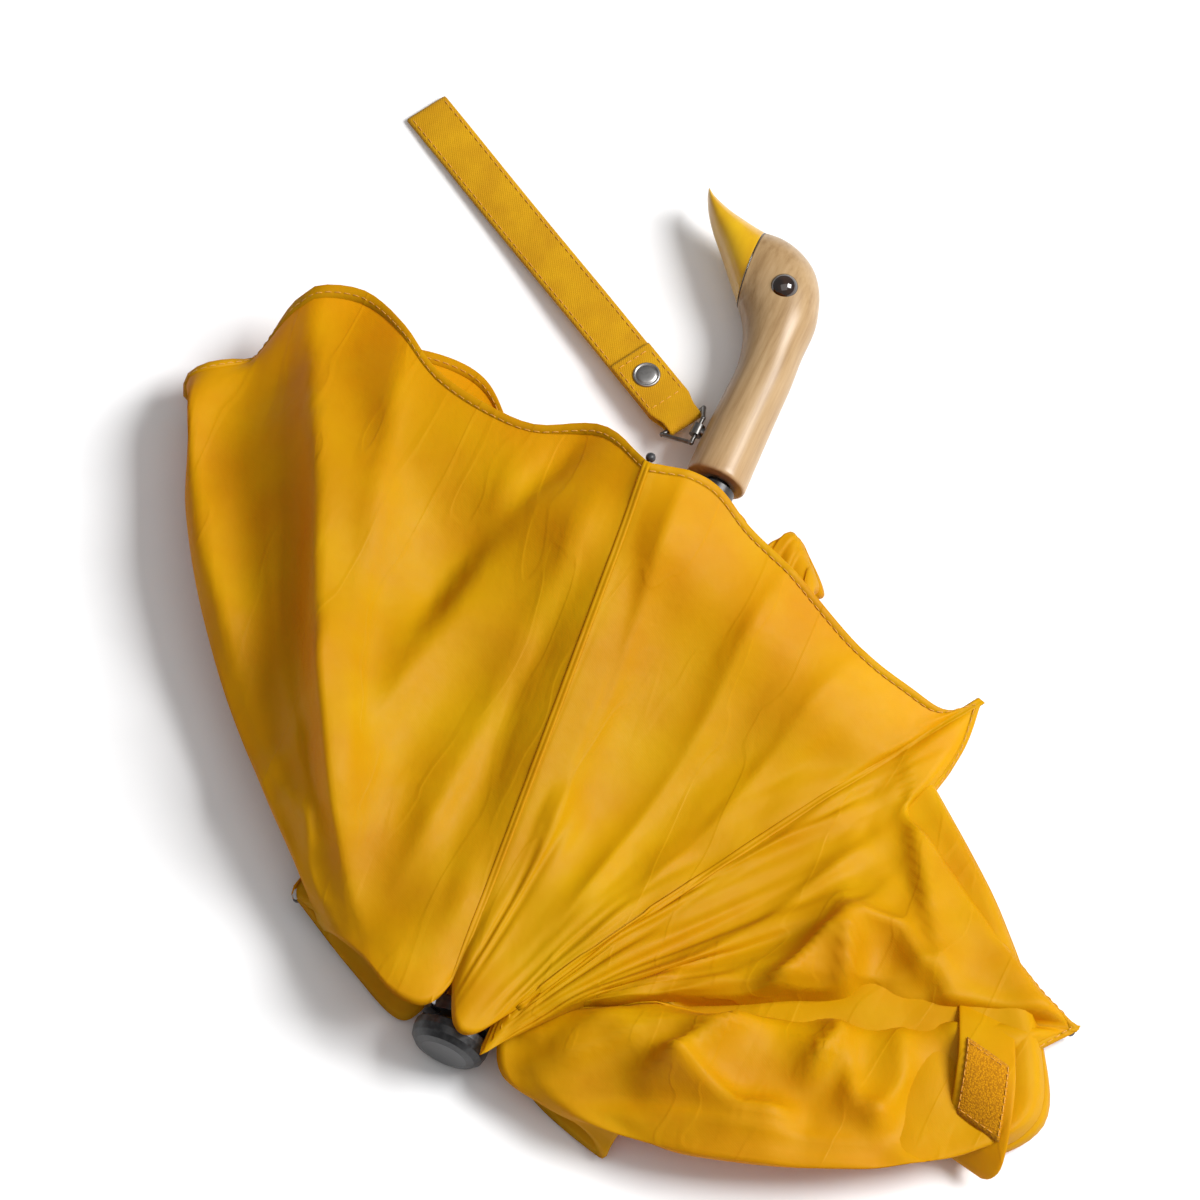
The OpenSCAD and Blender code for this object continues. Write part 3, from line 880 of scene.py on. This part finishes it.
def hem_mesh(grid):
    """The turned-up edge: a second layer along the hem, on both faces of the cloth."""
    normal = normals_of(grid)
    edge = grid[0] - HEM_EDGE * MM * inward_of(grid)
    rings = [edge + HEM_EDGE / 3 * MM * normal[0]]
    rings += [grid[row] + HEM_LIFT * MM * normal[row] for row in (0, 1)]
    rings += [grid[row] - HEM_LIFT * MM * normal[row] for row in (1, 0)]
    rings += [edge - HEM_EDGE / 3 * MM * normal[0]]
    vertices = np.stack(rings, axis=1).reshape(-1, 3).tolist()
    return vertices, ring_faces(grid.shape[1], len(rings), closed=True)


def inward_of(grid):
    """Unit directions from the hem into the cloth."""
    return unit(grid[1] - grid[0])


# A stitch: its points as shares of its length, and their heights in thread radii, sunk at both ends
STITCH = [(0, -0.6), (0.2, 0.7), (0.5, 1), (0.8, 0.7), (1, -0.6)]


def stitch_places(line, length, gap):
    """Where each stitch's points lie along a line of points: the number of a point and a share of the
    way to the next."""
    travelled = lengths_along(line)
    places = []
    start = gap
    while start + length < travelled[-1]:
        stitch = []
        for share, _ in STITCH:
            distance = start + share * length
            i = min(max(bisect.bisect_right(travelled, distance) - 1, 0), len(line) - 2)
            stitch.append((i, (distance - travelled[i]) / max(travelled[i + 1] - travelled[i], 1e-9)))
        places.append(stitch)
        start += length + gap
    return places


def stitch_mesh(line, out, places, radius, lift):
    """Short threads at the given places, lift above the line."""
    parts = []
    for stitch in places:
        points = []
        for (i, share), (_, height) in zip(stitch, STITCH):
            up = out[i].lerp(out[i + 1], share)
            points.append(line[i].lerp(line[i + 1], share) + up * (lift + height * radius))
        parts.append(tube(points, radius, 5))
    return joined(*parts)


def stitch_row(line, out, length):
    """Stitches of one length in millimetres, half of it apart, along a strap."""
    return stitch_mesh(line, out, stitch_places(line, length * MM, length / 2 * MM), 0.16 * MM, 0)


HEM_STITCHES = 0.82 * HEM_WIDTH     # millimetres from the edge to the stitches


def hem_line(grid):
    """The line that the hem's stitches follow, and the way out of the cloth along it."""
    line = [Vector(p) for p in grid[0] + HEM_STITCHES * MM * inward_of(grid)]
    out = [Vector(p) for p in normals_of(grid)[1]]
    return line + line[:1], out + out[:1]


def trim_canopy(grid, raised, look, thread_look):
    """Seams, hem and stitches, each made on the settled cloth and again on the raised one."""
    pieces = []
    for name, shape in (("canopy_seams", seam_mesh), ("canopy_hem", hem_mesh)):
        pieces.append(new_piece(name, shape(grid), "upper_tube", look))
        opens(pieces[-1], shape(raised)[0])
    places = stitch_places(hem_line(grid)[0], 2.1 * MM, 1.1 * MM)
    shape = [stitch_mesh(*hem_line(points), places, 0.15 * MM, 0.3 * MM) for points in (grid, raised)]
    pieces.append(new_piece("canopy_stitches", shape[0], "upper_tube", thread_look))
    opens(pieces[-1], shape[1][0])
    return pieces


# ---------------------------------------------------------------- straps

# A tape's section, in shares of its width and its thickness: round edges and a slightly raised top
TAPE = [(-0.5, 0), (-0.48, 0.36), (-0.44, 0.5), (-0.2, 0.56), (0, 0.62), (0.2, 0.56), (0.44, 0.5),
        (0.48, 0.36), (0.5, 0), (0.48, -0.36), (0.44, -0.5), (0, -0.5), (-0.44, -0.5), (-0.48, -0.36)]


def ribbon(points, side, width, thickness):
    """A flat tape along the points, as wide as width along side. width may be a function of the share
    of the way along it."""
    last = len(points) - 1
    sideways, out = [], []
    for i in range(last + 1):
        way = points[min(i + 1, last)] - points[max(i - 1, 0)]
        sideways.append((width(i / last) if callable(width) else width) * side)
        out.append(thickness * way.cross(side).normalized())
    return strip_along(points, sideways, out, TAPE)


STRAP_LENGTH = 152
STRAP_DROP = 7.4        # millimetres from the ring's height down to the strap's far end on the table
STRAP_TILT = math.asin(STRAP_DROP / STRAP_LENGTH)
STRAP_SIDE = Vector((-math.sin(STRAP_ANGLE), math.cos(STRAP_ANGLE), 0))


def on_strap(x, y, z):
    """A place x along the wrist strap from its ring, y across it and z above its middle."""
    flat = math.cos(STRAP_TILT)
    way = Vector((math.cos(STRAP_ANGLE) * flat, math.sin(STRAP_ANGLE) * flat, -math.sin(STRAP_TILT)))
    up = way.cross(STRAP_SIDE)
    return hinge_place("strap_hinge") + MM * (x * way + y * STRAP_SIDE + z * up)


def strap_up():
    return (on_strap(0, 0, 1) - on_strap(0, 0, 0)).normalized()


def wave(x):
    """The slight bow of the free part of the strap, in millimetres."""
    return 0.5 * math.sin(x / 21) * min(1, max(0, (x - 30) / 30)) * min(1, (STRAP_LENGTH - x) / 20)


def make_wrist_strap(look, thread_look):
    """One tape: a tab on top with the snap, round the ring, out to the fold and back."""
    path = [(31, 0.95), (27, 0.95), (20, 0.95), (12, 1.0), (6, 1.35), (3, 1.7), (0.5, 1.75),
            (-1.3, 1.2), (-1.75, 0), (-1.3, -1.2), (0.5, -1.75), (4, -1.8), (9, -1.65)]
    path += [(x, -1.5 + wave(x)) for x in range(15, 150, 10)]
    end = STRAP_LENGTH
    path += [(end - 1.2, -1.45), (end, -0.9), (end - 1.2, -0.35)]
    path += [(x, -0.4 + wave(x)) for x in range(148, 9, -10)]
    path += [(9, -0.3), (5, -0.3)]
    points = curve_through([on_strap(x, 0, z) for x, z in path], 420)
    near = hinge_place("strap_hinge")

    def width(share):
        reach = (points[round(share * (len(points) - 1))] - near).length / MM
        return (13 + 3 * min(1, max(0, (reach - 3) / 5))) * MM

    strap = new_piece("wrist_tape", ribbon(points, STRAP_SIDE, width, 0.95 * MM), "wrist_strap",
                      look)
    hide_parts("wrist_strap")
    rows = []
    for y in (-6.6, 6.6):
        rows.append([on_strap(x, y, 0.12 + wave(x)) for x in range(33, 151, 3)])
        rows.append([on_strap(x, y, 1.46) for x in range(9, 31, 2)])
    rows.append([on_strap(28.6, y, 1.46) for y in range(-6, 7, 2)])
    rows.append([on_strap(9.5, y, 1.5) for y in range(-6, 7, 2)])
    up = strap_up()
    stitches = [stitch_row(row, [up] * len(row), 2) for row in rows]
    new_piece("wrist_tape_stitches", joined(*stitches), "wrist_strap", thread_look)


def turned(profile, centre, axis, sides=64):
    """A shape turned on a lathe. The profile is pairs of radius and height along the axis."""
    side = axis.orthogonal().normalized()
    other = axis.cross(side)
    vertices = []
    for radius, height in profile:
        for j in range(sides):
            turn = math.tau * j / sides
            vertices.append(centre + MM * (radius * (math.cos(turn) * side + math.sin(turn) * other)
                                           + height * axis))
    return vertices, ring_faces(len(profile), sides)


def make_snap(look):
    profile = [(4.7, 0), (4.75, 0.5), (4.6, 1.0), (4.2, 1.25), (3.9, 1.15), (3.75, 0.8), (3.6, 0.8),
               (3.4, 1.1), (2.6, 1.35), (1.4, 1.42), (0.05, 1.45)]
    snap = new_piece("snap_dome", turned(profile, on_strap(21, 0, 0.9), strap_up()), "wrist_strap",
                     look)
    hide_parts("snap_cap")


# The closing strap comes out from under the hem of the lower right gore and lies folded over
TIE_PATH = [(150, 86, 10), (156, 72, 16), (161, 60, 22), (165, 50, 24.5), (168, 40, 23), (170, 31, 18),
            (170, 25, 12), (166, 23, 7), (160, 28, 4), (154, 38, 3)]


TIE_TURN = math.radians(-14)    # the direction across it, on the table


def carried(points, grid, raised):
    """Points near the hem, moved with the cloth that they are sewn to when the canopy goes up."""
    sewn = np.array(tuple(at(*TIE_PATH[0])))
    near = grid[:12]
    row, column = np.unravel_index(np.argmin(np.linalg.norm(near - sewn, axis=2)), near.shape[:2])
    frames = []
    for cloth_grid in (grid, raised):
        out = normals_of(cloth_grid)[row, column]
        inward = cloth_grid[row + 1, column] - cloth_grid[row, column]
        inward -= out * inward.dot(out)
        inward /= np.linalg.norm(inward)
        frames.append((cloth_grid[row, column], np.stack([inward, out, np.cross(inward, out)])))
    (start, rest_axes), (end, up_axes) = frames
    return end + (np.array([tuple(p) for p in points]) - start) @ rest_axes.T @ up_axes


def make_tie_strap(look, pile, thread_look, grid, raised):
    side = Vector((math.cos(TIE_TURN), math.sin(TIE_TURN), 0))
    points = curve_through([at(*p) for p in TIE_PATH], 60)
    strap = new_piece("closing_strap", ribbon(points, side, 23 * MM, 0.9 * MM), "upper_tube",
                      look)
    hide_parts("tie_strap")
    patch_line = points[22:38]
    last = len(patch_line) - 1
    lifted = []
    for i, point in enumerate(patch_line):
        way = patch_line[min(i + 1, last)] - patch_line[max(i - 1, 0)]
        up = way.cross(side).normalized()
        up *= 1 if up.z > 0 else -1
        lifted.append((point + 1.0 * MM * up, up))
    patch = new_piece("loop_pile", ribbon([p for p, _ in lifted], side, 17 * MM, 1.0 * MM),
                      "upper_tube", pile)
    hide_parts("loop_patch", "hook_patch")
    rows = []
    for offset in (-8, 8):
        rows.append(([p + offset * MM * side + 0.55 * MM * up for p, up in lifted],
                     [up for _, up in lifted]))
    for p, up in (lifted[1], lifted[-2]):
        rows.append(([p + y * MM * side + 0.6 * MM * up for y in range(-8, 9, 2)], [up] * 9))
    stitches = [stitch_row(line, out, 1.8) for line, out in rows]
    sewing = new_piece("closing_strap_stitches", joined(*stitches), "upper_tube",
                       thread_look)
    for piece in (strap, patch, sewing):
        opens(piece, carried([v.co for v in piece.data.vertices], grid, raised))


# ---------------------------------------------------------------- handle

# Rings along the grip and the duck's head: x and y from the grip's face, half width, half thickness
# and tilt in degrees, as in the CAD model
NECK = [(-1.1, 1.4, 10.6, 10.6, 0), (-1.4, 14, 10.4, 10.4, 0), (-1.5, 30, 10, 10.1, 0),
        (-1.6, 42.5, 9.8, 10.1, 2), (-2.9, 52.8, 10.4, 10.6, 10), (-4.3, 61.6, 12.2, 11.4, 20),
        (-6.3, 67.2, 13.3, 11.9, 28), (-8.3, 71.4, 14.1, 12.2, 38), (-10.9, 74.9, 14.5, 12.2, 51),
        (-14.5, 77.3, 14.5, 11.9, 66), (-18, 78.4, 14.3, 11.4, 80), (-21.3, 78.4, 14, 10.9, 93)]
BILL = [(-21.5, 78.5, 13.9, 10.8, 93), (-25.7, 81.1, 12.3, 10.2, 97), (-30.4, 84.6, 9.8, 9.2, 97),
        (-35.3, 88.3, 7.3, 7.8, 97), (-40.2, 92.3, 5, 6.2, 95), (-43.9, 96, 3.1, 4.4, 94),
        (-46.2, 99.3, 1.6, 2.4, 94), (-47, 101, 0.5, 0.6, 94)]
GRIP_FACE = 212


def ring_points(row, sides=72):
    x, y, wide, thick, tilt = row
    tilt = math.radians(tilt)
    points = []
    for j in range(sides):
        turn = math.tau * j / sides
        reach = wide * math.cos(turn)
        points.append(at(x + reach * math.cos(tilt), GRIP_FACE + y + reach * math.sin(tilt),
                         SHAFT.z / MM + thick * math.sin(turn)))
    return points


def loft(rings):
    """A skin over rings of points. The rings run the other way round than a tube's."""
    faces = [tuple(reversed(face)) for face in ring_faces(len(rings), len(rings[0]))]
    return [point for ring in rings for point in ring], faces


def make_head(wood, paint, dark):
    base = [(0, 4, 4.1, 4.1, 0), (0, 0.3, 4.2, 4.2, 0), (0, 0.02, 4.5, 4.5, 0), (-0.5, 0, 7, 7, 0),
            (-1.1, 0, 9.6, 9.6, 0), (-1.1, 0.15, 10.15, 10.15, 0), (-1.1, 0.6, 10.5, 10.5, 0)]
    rings = [ring_points(row) for row in base + smooth_steps(np.array(NECK, dtype=float), 8)]
    head = new_piece("duck_head", loft(rings), "handle", wood)
    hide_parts("wood_handle")
    rings = [ring_points(row) for row in smooth_steps(np.array(BILL, dtype=float), 6)]
    bill = new_piece("duck_bill", loft(rings), "handle", paint)
    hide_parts("beak")
    # A thin dark ring round the root of the bill: painted shade, standing for the shadow in the groove between the
    # bill and the wood
    joint = ring_points((-21.45, 78.4, 13.98, 10.88, 93), 96)
    new_piece("bill_joint", tube(joint, 0.2 * MM, 6, closed=True), "handle", dark)


# ---------------------------------------------------------------- build

def make_floor():
    mesh = bpy.data.meshes.new("table_top")
    size = 4.0
    mesh.from_pydata([(-size, -size, 0), (size, -size, 0), (size, size, 0), (-size, size, 0)], [],
                     [(0, 1, 2, 3)])
    mesh.materials.append(table_top())
    floor = bpy.data.objects.new("table_top", mesh)
    bpy.context.collection.objects.link(floor)


def paint_cad(looks):
    """Gives every CAD node that stays visible the material of its record slot."""
    slots = {part["node"]: part["material_slot"] for part in frame["record"]["subparts"]}
    for name, solid in frame["nodes"].items():
        solid.data.materials.clear()
        solid.data.materials.append(looks[slots[name]])
        solid.data.shade_smooth()


make_camera()
make_world()
make_floor()
area_light("key", at(1700, 900, 1950), 1.3, 112)
area_light("fill", at(400, -500, 2500), 2.4, 18)

looks = {
    "birch": birch(), "yellow_paint": yellow_paint(), "eye_black": eye_gloss(),
    "bright_steel": steel("bright_steel", (0.7, 0.7, 0.72), 0.25),
    "black_tube": moulded("black_lacquer", (0.015, 0.015, 0.016), 0.3),
    "dark_steel": steel("dark_steel", (0.22, 0.21, 0.2), 0.3),
    "black_plastic": moulded("black_plastic", (0.008, 0.008, 0.009), 0.32),
    "canopy_cloth": pongee(), "velcro": velcro(), "strap_tape": tape(),
    "snap_metal": steel("snap_metal", (0.36, 0.35, 0.34), 0.38),
    "rib_steel": steel("rib_steel", (0.55, 0.56, 0.58), 0.32),
    "rib_black": moulded("rib_fibreglass", (0.02, 0.02, 0.022), 0.35),
}
paint_cad(looks)
canopy, cloth, raised_cloth = make_canopy(looks["canopy_cloth"])
trim = trim_canopy(cloth, raised_cloth, looks["canopy_cloth"], thread())
make_wrist_strap(looks["strap_tape"], thread())
make_snap(looks["snap_metal"])
make_tie_strap(looks["canopy_cloth"], looks["velcro"], thread(), cloth, raised_cloth)
make_head(looks["birch"], looks["yellow_paint"], looks["eye_black"])
